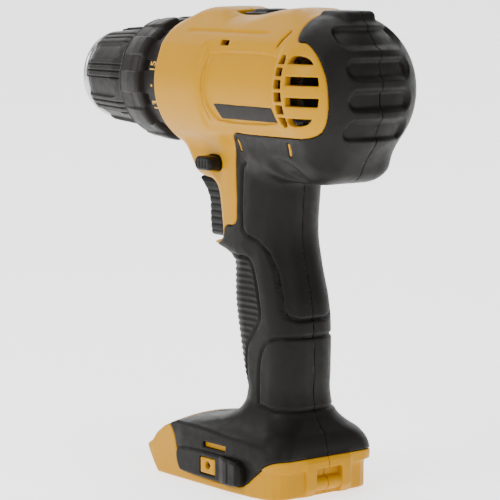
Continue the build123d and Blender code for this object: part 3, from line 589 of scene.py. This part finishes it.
def lathe(name, stations, radius, inner, steps):
    """A closed ring along X whose outer radius is a function of station and angle, over a bore."""
    angles = np.linspace(0, 2 * math.pi, steps, endpoint=False)
    x, angle = np.meshgrid(np.asarray(stations, float), angles, indexing="ij")
    outer = radius(x, angle)
    bore = np.broadcast_to(np.asarray(inner(x), float), x.shape)
    ring_x = np.concatenate([x, x[::-1]])
    ring_r = np.concatenate([outer, bore[::-1]])
    return ring_mesh(name, ring_x, ring_r, np.concatenate([angle, angle[::-1]]))


def rounded_rise(x, start, end, edge):
    """A plateau of 1 between two stations with quarter-round ends of a given length."""
    t = np.clip(np.minimum(x - start, end - x) / edge, 0, 1)
    return np.sqrt(1 - (1 - t) ** 2)


# ------------------------------------------------------------------ clutch collar and chuck

SLEEVE_PANELS = 8
SLEEVE_RIBS = 48
LOBES = 10  # pads round the collar
FIRST_NOTCH = math.radians(16.5)


def collar_radius(x, angle):
    """The collar: a plain number band, then a grip ring of pads with notches between them."""
    band = NUMBER_R - 1.4 * np.clip((26.5 - x) / 3.5, 0, 1)
    around = np.mod((angle - math.pi / 2 + FIRST_NOTCH) * LOBES / (2 * math.pi), 1)
    from_notch = np.minimum(around, 1 - around)
    pad = eased(np.clip((from_notch - 0.2) / 0.05, 0, 1))
    rise = rounded_rise(x, 41.6, 70, 1.1)
    fade = np.clip((x - 48) / 8, 0, 1)
    dip = (1 - pad) * (1.2 * (1 - fade) + 0.3 * fade)
    crown = np.interp(x, [41, 44, 50, 57, 59.6], [28.2, 28.9, 28.6, 27.6, 26.6])
    lip = 0.3 * np.exp(-(((x - 57.0) / 0.45) ** 2))
    ring = 25.4 + (crown - dip + lip - 25.4) * rise
    front = np.clip((59.6 - x) / 1.5, 0, 1)
    rounded_front = 1.5 * (1 - np.sqrt(1 - (1 - front) ** 2))
    pocket = np.clip((from_notch - 0.13) / 0.04, 0, 1)
    gap = np.clip((x - 38.4) / 0.6, 0, 1) * (1 - pocket) * 1.6
    step = band - 0.7 * np.exp(-(((x - 41.0) / 0.5) ** 2)) - gap
    return np.where(x < 41.5, step, np.maximum(ring, band - 1.6)) - rounded_front


def sleeve_radius(x, angle):
    """The keyless sleeve: smooth recessed panels between bands of fine ribs."""
    base = np.interp(x, [60.5, 61.2, 62.2, 70, 90, 93, 94.5],
                     [21.8, 22.8, 23.4, 23.6, 22.3, 21.4, 20.0])
    around = np.mod((angle - math.radians(80)) * SLEEVE_PANELS / (2 * math.pi), 1)
    from_panel = np.abs(around - 0.5) * 2 * math.pi / SLEEVE_PANELS
    half_panel = math.radians(11.2)
    panel = eased(np.clip((half_panel - from_panel) / math.radians(1.4) + 0.5, 0, 1))
    length = eased(np.clip((x - 67.4 - 4.5 * (from_panel / half_panel) ** 6) / 1.2, 0, 1))
    recess = 1.3 * panel * length
    rib = np.mod(angle * SLEEVE_RIBS / (2 * math.pi) + 0.5, 1) - 0.5
    ribbed = 0.8 * np.exp(-((rib / 0.13) ** 2)) * (1 - panel) * rounded_rise(x, 62.5, 92, 2)
    return base - recess - ribbed


def stations(*stretches):
    """Stations along X from (start, end, step) stretches."""
    return np.concatenate([np.arange(start, end, step) for start, end, step in stretches])


def turned_ring(name, outline_points, steps):
    """A ring turned about the spindle axis from its closed section, as (x, radius) points."""
    section = np.array(outline_points, float)
    angles = np.linspace(0, 2 * math.pi, steps, endpoint=False)
    x = np.repeat(section[:, :1], steps, 1)
    r = np.repeat(section[:, 1:], steps, 1)
    return ring_mesh(name, x, r, angles)


def coil_spring(name, node, wire, turns):
    """A wire coil along X that fills the box of a CAD node."""
    steps_per_turn = 48
    sides = 8
    end_wire = 0.02
    low, high = (np.array(corner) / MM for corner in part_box(node))
    radius = (high[1] - low[1]) / 2 - wire
    middle = (low + high) / 2
    start = low[0] + wire
    length = high[0] - low[0] - 2 * wire
    t = np.linspace(0, 1, steps_per_turn * turns + 1)[:, None]
    turn = 2 * math.pi * turns * t
    none = 0 * turn
    radial = np.concatenate([none, np.cos(turn), np.sin(turn)], 1)
    along = np.concatenate([none + length / (2 * math.pi * turns), -radius * np.sin(turn),
                            radius * np.cos(turn)], 1)
    along /= np.linalg.norm(along, axis=1, keepdims=True)
    across = np.cross(along, radial)
    centre_line = np.concatenate([start + length * t, none + middle[1], none + middle[2]], 1)
    spine = radius * radial + centre_line
    thickness = np.full(t.shape, wire)
    thickness[[0, -1]] = end_wire
    around = np.linspace(0, 2 * math.pi, sides, endpoint=False)
    rings = [spine + thickness * (math.cos(a) * radial + math.sin(a) * across) for a in around]
    index = np.arange(len(t) * sides).reshape(len(t), sides)
    ahead = np.roll(index, -1, 1)
    quads = np.stack([index[:-1], index[1:], ahead[1:], ahead[:-1]], -1)
    return mesh_object(name, np.stack(rings, 1).reshape(-1, 3), quads.reshape(-1, 4))


def wrapped_text(name, text, size, x, degrees, radius):
    """Raised figures on a cylinder about the spindle axis, reading along it."""
    curve = bpy.data.curves.new(name, "FONT")
    curve.body = text
    curve.align_x = "CENTER"
    curve.align_y = "CENTER"
    curve.size = size
    curve.extrude = 0.12
    curve.offset = 0.06
    curve.resolution_u = 6
    holder = bpy.data.objects.new(name + "_curve", curve)
    bpy.context.scene.collection.objects.link(holder)
    bpy.context.view_layer.update()
    mesh = bpy.data.meshes.new_from_object(holder)
    bpy.data.objects.remove(holder)
    points = np.array([vertex.co for vertex in mesh.vertices])
    points[:, :2] -= (points[:, :2].max(0) + points[:, :2].min(0)) / 2
    angle = math.radians(degrees) + points[:, 0] / radius
    r = radius + points[:, 2]
    placed = np.stack([x + points[:, 1], r * np.cos(angle), AXIS_Z + r * np.sin(angle)], 1) * MM
    mesh.vertices.foreach_set("co", placed.astype(np.float32).ravel())
    mesh.update()
    piece = bpy.data.objects.new(name, mesh)
    bpy.context.scene.collection.objects.link(piece)
    return piece


# The steel ring in front of the sleeve: x and radius round its section
NOSE_SECTION = [
    (94.3, 18.6), (95.2, 20.2), (96.2, 20.6), (97.6, 20.2), (98.8, 18.6), (99.3, 16.6),
    (99.3, 9.2), (98.9, 8.4), (96.4, 8.0), (94.3, 8.0),
]


# ------------------------------------------------------------------ materials


def new_material(name):
    material = bpy.data.materials.new(name)
    material.use_nodes = True
    nodes = material.node_tree.nodes
    return material, nodes, material.node_tree.links, nodes["Principled BSDF"]


def noise(nodes, links, scale, detail, coordinates, stretch=None):
    """A noise texture in object coordinates, its scale in patterns per metre."""
    texture = nodes.new("ShaderNodeTexNoise")
    texture.inputs["Scale"].default_value = scale
    texture.inputs["Detail"].default_value = detail
    source = coordinates.outputs["Object"]
    if stretch:
        mapping = nodes.new("ShaderNodeMapping")
        mapping.inputs["Scale"].default_value = stretch
        links.new(source, mapping.inputs["Vector"])
        source = mapping.outputs["Vector"]
    links.new(source, texture.inputs["Vector"])
    return texture


def ramp(nodes, links, source, stops):
    """A colour ramp over a value, from (place, colour) stops."""
    node = nodes.new("ShaderNodeValToRGB")
    elements = node.color_ramp.elements
    while len(elements) < len(stops):
        elements.new(0.5)
    for element, (place, colour) in zip(elements, stops):
        element.position = place
        element.color = (*colour, 1)
    links.new(source, node.inputs["Fac"])
    return node


def shaded(colour, amount):
    return tuple(min(channel * amount, 1) for channel in colour)


def moulded(name, colour, roughness, grain=2600, grain_height=0.00004, variation=0.06, wear=0.25,
            specular=0.5, coat=0.0, coat_roughness=0.3, metallic=0.0, stretch=None):
    """A moulded or turned surface: fine grain, mottled colour and gloss, and paler worn edges."""
    material, nodes, links, shader = new_material(name)
    coordinates = nodes.new("ShaderNodeTexCoord")
    fine = noise(nodes, links, grain, 2, coordinates, stretch)
    broad = noise(nodes, links, 45, 3, coordinates)
    marks = noise(nodes, links, 260, 5, coordinates)
    body = ramp(nodes, links, broad.outputs["Fac"], [
        (0.3, shaded(colour, 1 - variation)), (0.7, shaded(colour, 1 + variation)),
    ])
    geometry = nodes.new("ShaderNodeNewGeometry")
    edge = nodes.new("ShaderNodeMapRange")
    edge.inputs["From Min"].default_value = 0.53
    edge.inputs["From Max"].default_value = 0.62
    links.new(geometry.outputs["Pointiness"], edge.inputs["Value"])
    patchy = nodes.new("ShaderNodeMath")
    patchy.operation = "MULTIPLY"
    links.new(edge.outputs["Result"], patchy.inputs[0])
    links.new(marks.outputs["Fac"], patchy.inputs[1])
    strength = nodes.new("ShaderNodeMath")
    strength.operation = "MULTIPLY"
    strength.inputs[1].default_value = wear
    links.new(patchy.outputs["Value"], strength.inputs[0])
    mix = nodes.new("ShaderNodeMix")
    mix.data_type = "RGBA"
    links.new(strength.outputs["Value"], mix.inputs["Factor"])
    links.new(body.outputs["Color"], mix.inputs[6])
    mix.inputs[7].default_value = (*shaded(colour, 1.6), 1)
    links.new(mix.outputs[2], shader.inputs["Base Color"])
    gloss = nodes.new("ShaderNodeMapRange")
    gloss.inputs["From Min"].default_value = 0.3
    gloss.inputs["From Max"].default_value = 0.7
    gloss.inputs["To Min"].default_value = max(roughness - 0.06, 0.03)
    gloss.inputs["To Max"].default_value = roughness + 0.08
    links.new(marks.outputs["Fac"], gloss.inputs["Value"])
    links.new(gloss.outputs["Result"], shader.inputs["Roughness"])
    bump = nodes.new("ShaderNodeBump")
    bump.inputs["Strength"].default_value = 1
    bump.inputs["Distance"].default_value = grain_height
    links.new(fine.outputs["Fac"], bump.inputs["Height"])
    links.new(bump.outputs["Normal"], shader.inputs["Normal"])
    shader.inputs["Metallic"].default_value = metallic
    shader.inputs["Specular IOR Level"].default_value = specular
    shader.inputs["IOR"].default_value = 1.3
    shader.inputs["Coat Weight"].default_value = coat
    shader.inputs["Coat Roughness"].default_value = coat_roughness
    return material


def make_materials():
    """Every finish by the record's slot name."""
    steel = (0.55, 0.55, 0.57)
    return {
        "yellow_shell": moulded("yellow_moulding", (0.44, 0.210, 0.0), 0.38, 2400, 0.00003, 0.02,
                                0.12, 0.3),
        "rubber": moulded("black_rubber", (0.0052, 0.0045, 0.0038), 0.5, 1700, 0.00006, 0.12,
                          0.35, 0.35),
        "label": moulded("dark_label", (0.010, 0.0078, 0.006), 0.4, 3500, 0.00001, 0.06, 0.1, 0.3),
        "zinc_screw": moulded("zinc_steel", (0.42, 0.42, 0.43), 0.34, 1800, 0.00002, 0.1, 0.3,
                              metallic=1.0),
        "black_plastic": moulded("black_moulding", (0.005, 0.0047, 0.0044), 0.42, 2600, 0.00003,
                                 0.12, 0.3, 0.4),
        "contact": moulded("contact_metal", (0.72, 0.58, 0.34), 0.28, 1500, 0.00001, 0.08, 0.2,
                           metallic=1.0),
        "carbon": moulded("brush_carbon", (0.03, 0.03, 0.032), 0.62, 2200, 0.00004, 0.2, 0.2),
        "lead": moulded("lead_sheath", (0.35, 0.02, 0.015), 0.42, 1500, 0.00002, 0.1, 0.1),
        "lens": moulded("lamp_lens", (0.75, 0.77, 0.8), 0.12, 900, 0.00001, 0.03, 0.1, 0.6,
                        coat=0.6, coat_roughness=0.05),
        "plated_steel": moulded("plated_steel", steel, 0.3, 900, 0.00002, 0.08, 0.3, metallic=1.0,
                                stretch=(12, 1, 1)),
        "magnet": moulded("magnet_coating", (0.07, 0.07, 0.075), 0.5, 1900, 0.00004, 0.15, 0.3),
        "core_steel": moulded("lamination_steel", (0.32, 0.31, 0.3), 0.42, 2600, 0.00005, 0.15,
                              0.3, metallic=1.0, stretch=(14, 1, 1)),
        "copper": moulded("winding_copper", (0.75, 0.28, 0.12), 0.3, 2400, 0.00008, 0.2, 0.3,
                          metallic=1.0, stretch=(1, 9, 9)),
        "gear_case": moulded("case_moulding", (0.05, 0.05, 0.055), 0.46, 2100, 0.00004, 0.1, 0.3),
        "gear_steel": moulded("gear_steel", (0.36, 0.35, 0.34), 0.38, 1700, 0.00003, 0.12, 0.4,
                              metallic=1.0),
        "collar_plastic": moulded("collar_moulding", (0.0125, 0.011, 0.010), 0.45, 2300, 0.00004,
                                  0.1, 0.35, 0.4),
        "sleeve_plastic": moulded("sleeve_moulding", (0.0115, 0.0102, 0.0092), 0.45, 2200,
                                  0.00004, 0.1, 0.35, 0.4),
        "chuck_steel": moulded("chuck_steel", (0.50, 0.50, 0.51), 0.3, 1100, 0.00002, 0.08, 0.3,
                               metallic=1.0, stretch=(12, 1, 1)),
        "figure_paint": moulded("figure_paint", (0.55, 0.33, 0.06), 0.5, 1900, 0.00002, 0.08, 0.1),
    }


materials = make_materials()


def finish_piece(piece, body, slot, *nodes, paint=None):
    """Gives a piece its material, its body, its slot and the CAD nodes it stands for."""
    piece.data.materials.clear()
    piece.data.materials.append(materials[paint or slot])
    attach(piece, body)
    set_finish(piece, slot)
    if nodes:
        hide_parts(*nodes)
    return piece


# ------------------------------------------------------------------ the pieces

SIDES = (("left", 1, (-96, 0, 0), (38, 35, 214)), ("right", -1, (-96, -35, 0), (38, 0, 214)))
for name, sign, low, high in SIDES:
    half = field_piece(f"housing_{name}", lambda x, y, z, s=sign: shell(x, y, z, s),
                       low, high, FINE)
    finish_piece(half, "housing", "yellow_shell", f"shell_{name}")
    grip = field_piece(f"grip_rubber_{name}", lambda x, y, z, s=sign: overmold(x, y, z, s),
                       low, high, FINE)
    finish_piece(grip, "housing", "rubber", f"overmold_{name}")
    strip_low, strip_high = sorted((sign * 24, sign * 34))
    strip = field_piece(f"label_strip_{name}", label, (-62, strip_low, 163),
                        (-14, strip_high, 174), 0.7 * FINE)
    finish_piece(strip, "housing", "label", *(["label_plates"] if sign == 1 else []))
    pad_low, pad_high = sorted((sign * 27, sign * 35))
    pad = field_piece(f"hook_plate_{name}", foot_pad, (-40, pad_low, 2), (13, pad_high, 18), 0.7 * FINE)
    finish_piece(pad, "housing", "rubber", *(["foot_pads"] if sign == 1 else []))

finger = field_piece("trigger_piece", trigger, (-21, -11, 109), (22, 11, 137), 0.7 * FINE)
finish_piece(finger, "trigger", "black_plastic", "trigger")
bar = field_piece("reverse_bar", reverse_button, (-10, -19, 140), (5, 27, 149), 0.6 * FINE)
finish_piece(bar, "reverse", "black_plastic", "reverse_button")
slide = field_piece("selector_slide", speed_selector, (-29, -10, 206), (-11, 10, 213), 0.5 * FINE)
finish_piece(slide, "shift", "black_plastic", "speed_selector")

collar_x = stations((23, 27, 0.25), (27, 37.5, 1.5), (37.5, 44, 0.2), (44, 55.5, 0.6),
                    (55.5, 59.62, 0.2))
collar = lathe("torque_collar", collar_x, collar_radius,
               lambda x: np.interp(x, [57, 57.6], [23.2, 21.9]), 540)
finish_piece(collar, "collar", "collar_plastic", "clutch_collar")
sleeve_x = stations((60.5, 64.5, 0.25), (64.5, 68.6, 0.7), (68.6, 77, 0.3), (77, 90, 1),
                    (90, 94.55, 0.22))
sleeve = lathe("grip_sleeve", sleeve_x, sleeve_radius,
               lambda x: np.interp(x, [61, 62.4], [14.6, 18.8]), 756)
finish_piece(sleeve, "sleeve", "sleeve_plastic", "chuck_sleeve")

return_spring = coil_spring("return_spring", "trigger_spring", 0.35, 5)
finish_piece(return_spring, "housing", "plated_steel", "trigger_spring")
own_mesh(return_spring)

nose = turned_ring("nose_ring", NOSE_SECTION, 180)
finish_piece(nose, "chuck", "chuck_steel")

# Odd settings have figures and even ones dots, placed in degrees down from the highest
FIGURE_STEP = 20.5
HIGHEST_FIGURE = 15
HIGHEST_AT = 16
for place in range(HIGHEST_FIGURE):
    degrees = HIGHEST_AT - place * FIGURE_STEP
    figure = HIGHEST_FIGURE - place
    if figure % 2:
        mark = wrapped_text(f"collar_figure_{figure}", str(figure), 5.4, NUMBER_X, degrees, NUMBER_R)
    else:
        mark = wrapped_text(f"collar_dot_{figure}", ".", 9, NUMBER_X, degrees, NUMBER_R)
    finish_piece(mark, "collar", "collar_plastic", paint="figure_paint")

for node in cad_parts.values():
    slot = node.get("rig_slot") or (node.data.materials[0].name if node.data.materials else "")
    slot = slot.split(".")[0]
    if slot in materials:
        node.data.materials.clear()
        node.data.materials.append(materials[slot])

# ------------------------------------------------------------------ floor, lights and camera


def backdrop():
    """A pale floor that curves up into a wall well behind the tool, as the camera sees it."""
    near, bend, top, half_width = -3.0, 1.2, 4.0, 4
    profile = [(near, 0.0), (bend, 0.0)]
    for t in np.linspace(0.1, math.pi / 2, 14):
        profile.append((bend + bend * math.sin(t), bend - bend * math.cos(t)))
    profile.append((2 * bend, top))
    away = np.array([math.sin(VIEW_TURN), -math.cos(VIEW_TURN)])
    across = np.array([away[1], -away[0]])
    points = []
    for distance, height in profile:
        for reach in (-half_width, half_width):
            spot = away * distance + across * reach
            points.append((spot[0], spot[1], height))
    faces = [(2 * row, 2 * row + 1, 2 * row + 3, 2 * row + 2) for row in range(len(profile) - 1)]
    floor = mesh_object("floor", np.array(points) / MM, faces)
    paper = moulded("floor_paper", (0.9, 0.9, 0.9), 0.75, 300, 0.00002, 0.01, 0.0, 0.2)
    shader = paper.node_tree.nodes["Principled BSDF"]
    shader.inputs["Emission Color"].default_value = (1, 1, 1, 1)
    shader.inputs["Emission Strength"].default_value = 1.7
    floor.data.materials.append(paper)


def area_light(name, place, target, side, power):
    """A square light that faces the target."""
    light = bpy.data.lights.new(name, "AREA")
    light.shape = "SQUARE"
    light.size = side
    light.energy = power
    holder = bpy.data.objects.new(name, light)
    holder.location = place
    holder.rotation_euler = (Vector(target) - Vector(place)).to_track_quat("-Z", "Y").to_euler()
    bpy.context.scene.collection.objects.link(holder)


def studio():
    """A large soft key above the camera's left, a fill, a top light and a pale world."""
    world = bpy.data.worlds.new("studio")
    bpy.context.scene.world = world
    world.use_nodes = True
    background = world.node_tree.nodes["Background"]
    background.inputs["Color"].default_value = (1, 1, 1, 1)
    background.inputs["Strength"].default_value = 0.2
    middle = (-0.01, 0, 0.11)
    side = 0.8
    area_light("key", (0.1, 1.25, 0.9), middle, side, 17)
    area_light("fill", (-1.3, 0.3, 0.7), middle, side, 6)
    area_light("top", (0.0, 0.0, 1.3), middle, side, 8)


def camera():
    """A long lens a little above the tool, from behind its left side."""
    rise = math.radians(7.3)
    distance = 1.066
    level = math.cos(rise)
    back = Vector((-math.sin(VIEW_TURN) * level, math.cos(VIEW_TURN) * level, math.sin(rise)))
    target = Vector((-0.005, 0, 0.1037))
    data = bpy.data.cameras.new("camera")
    data.lens = 170
    data.sensor_width = 36
    data.clip_start = 0.05
    holder = bpy.data.objects.new("camera", data)
    holder.location = target + back * distance
    holder.rotation_euler = (-back).to_track_quat("-Z", "Y").to_euler()
    bpy.context.scene.collection.objects.link(holder)
    bpy.context.scene.camera = holder


backdrop()
studio()
camera()
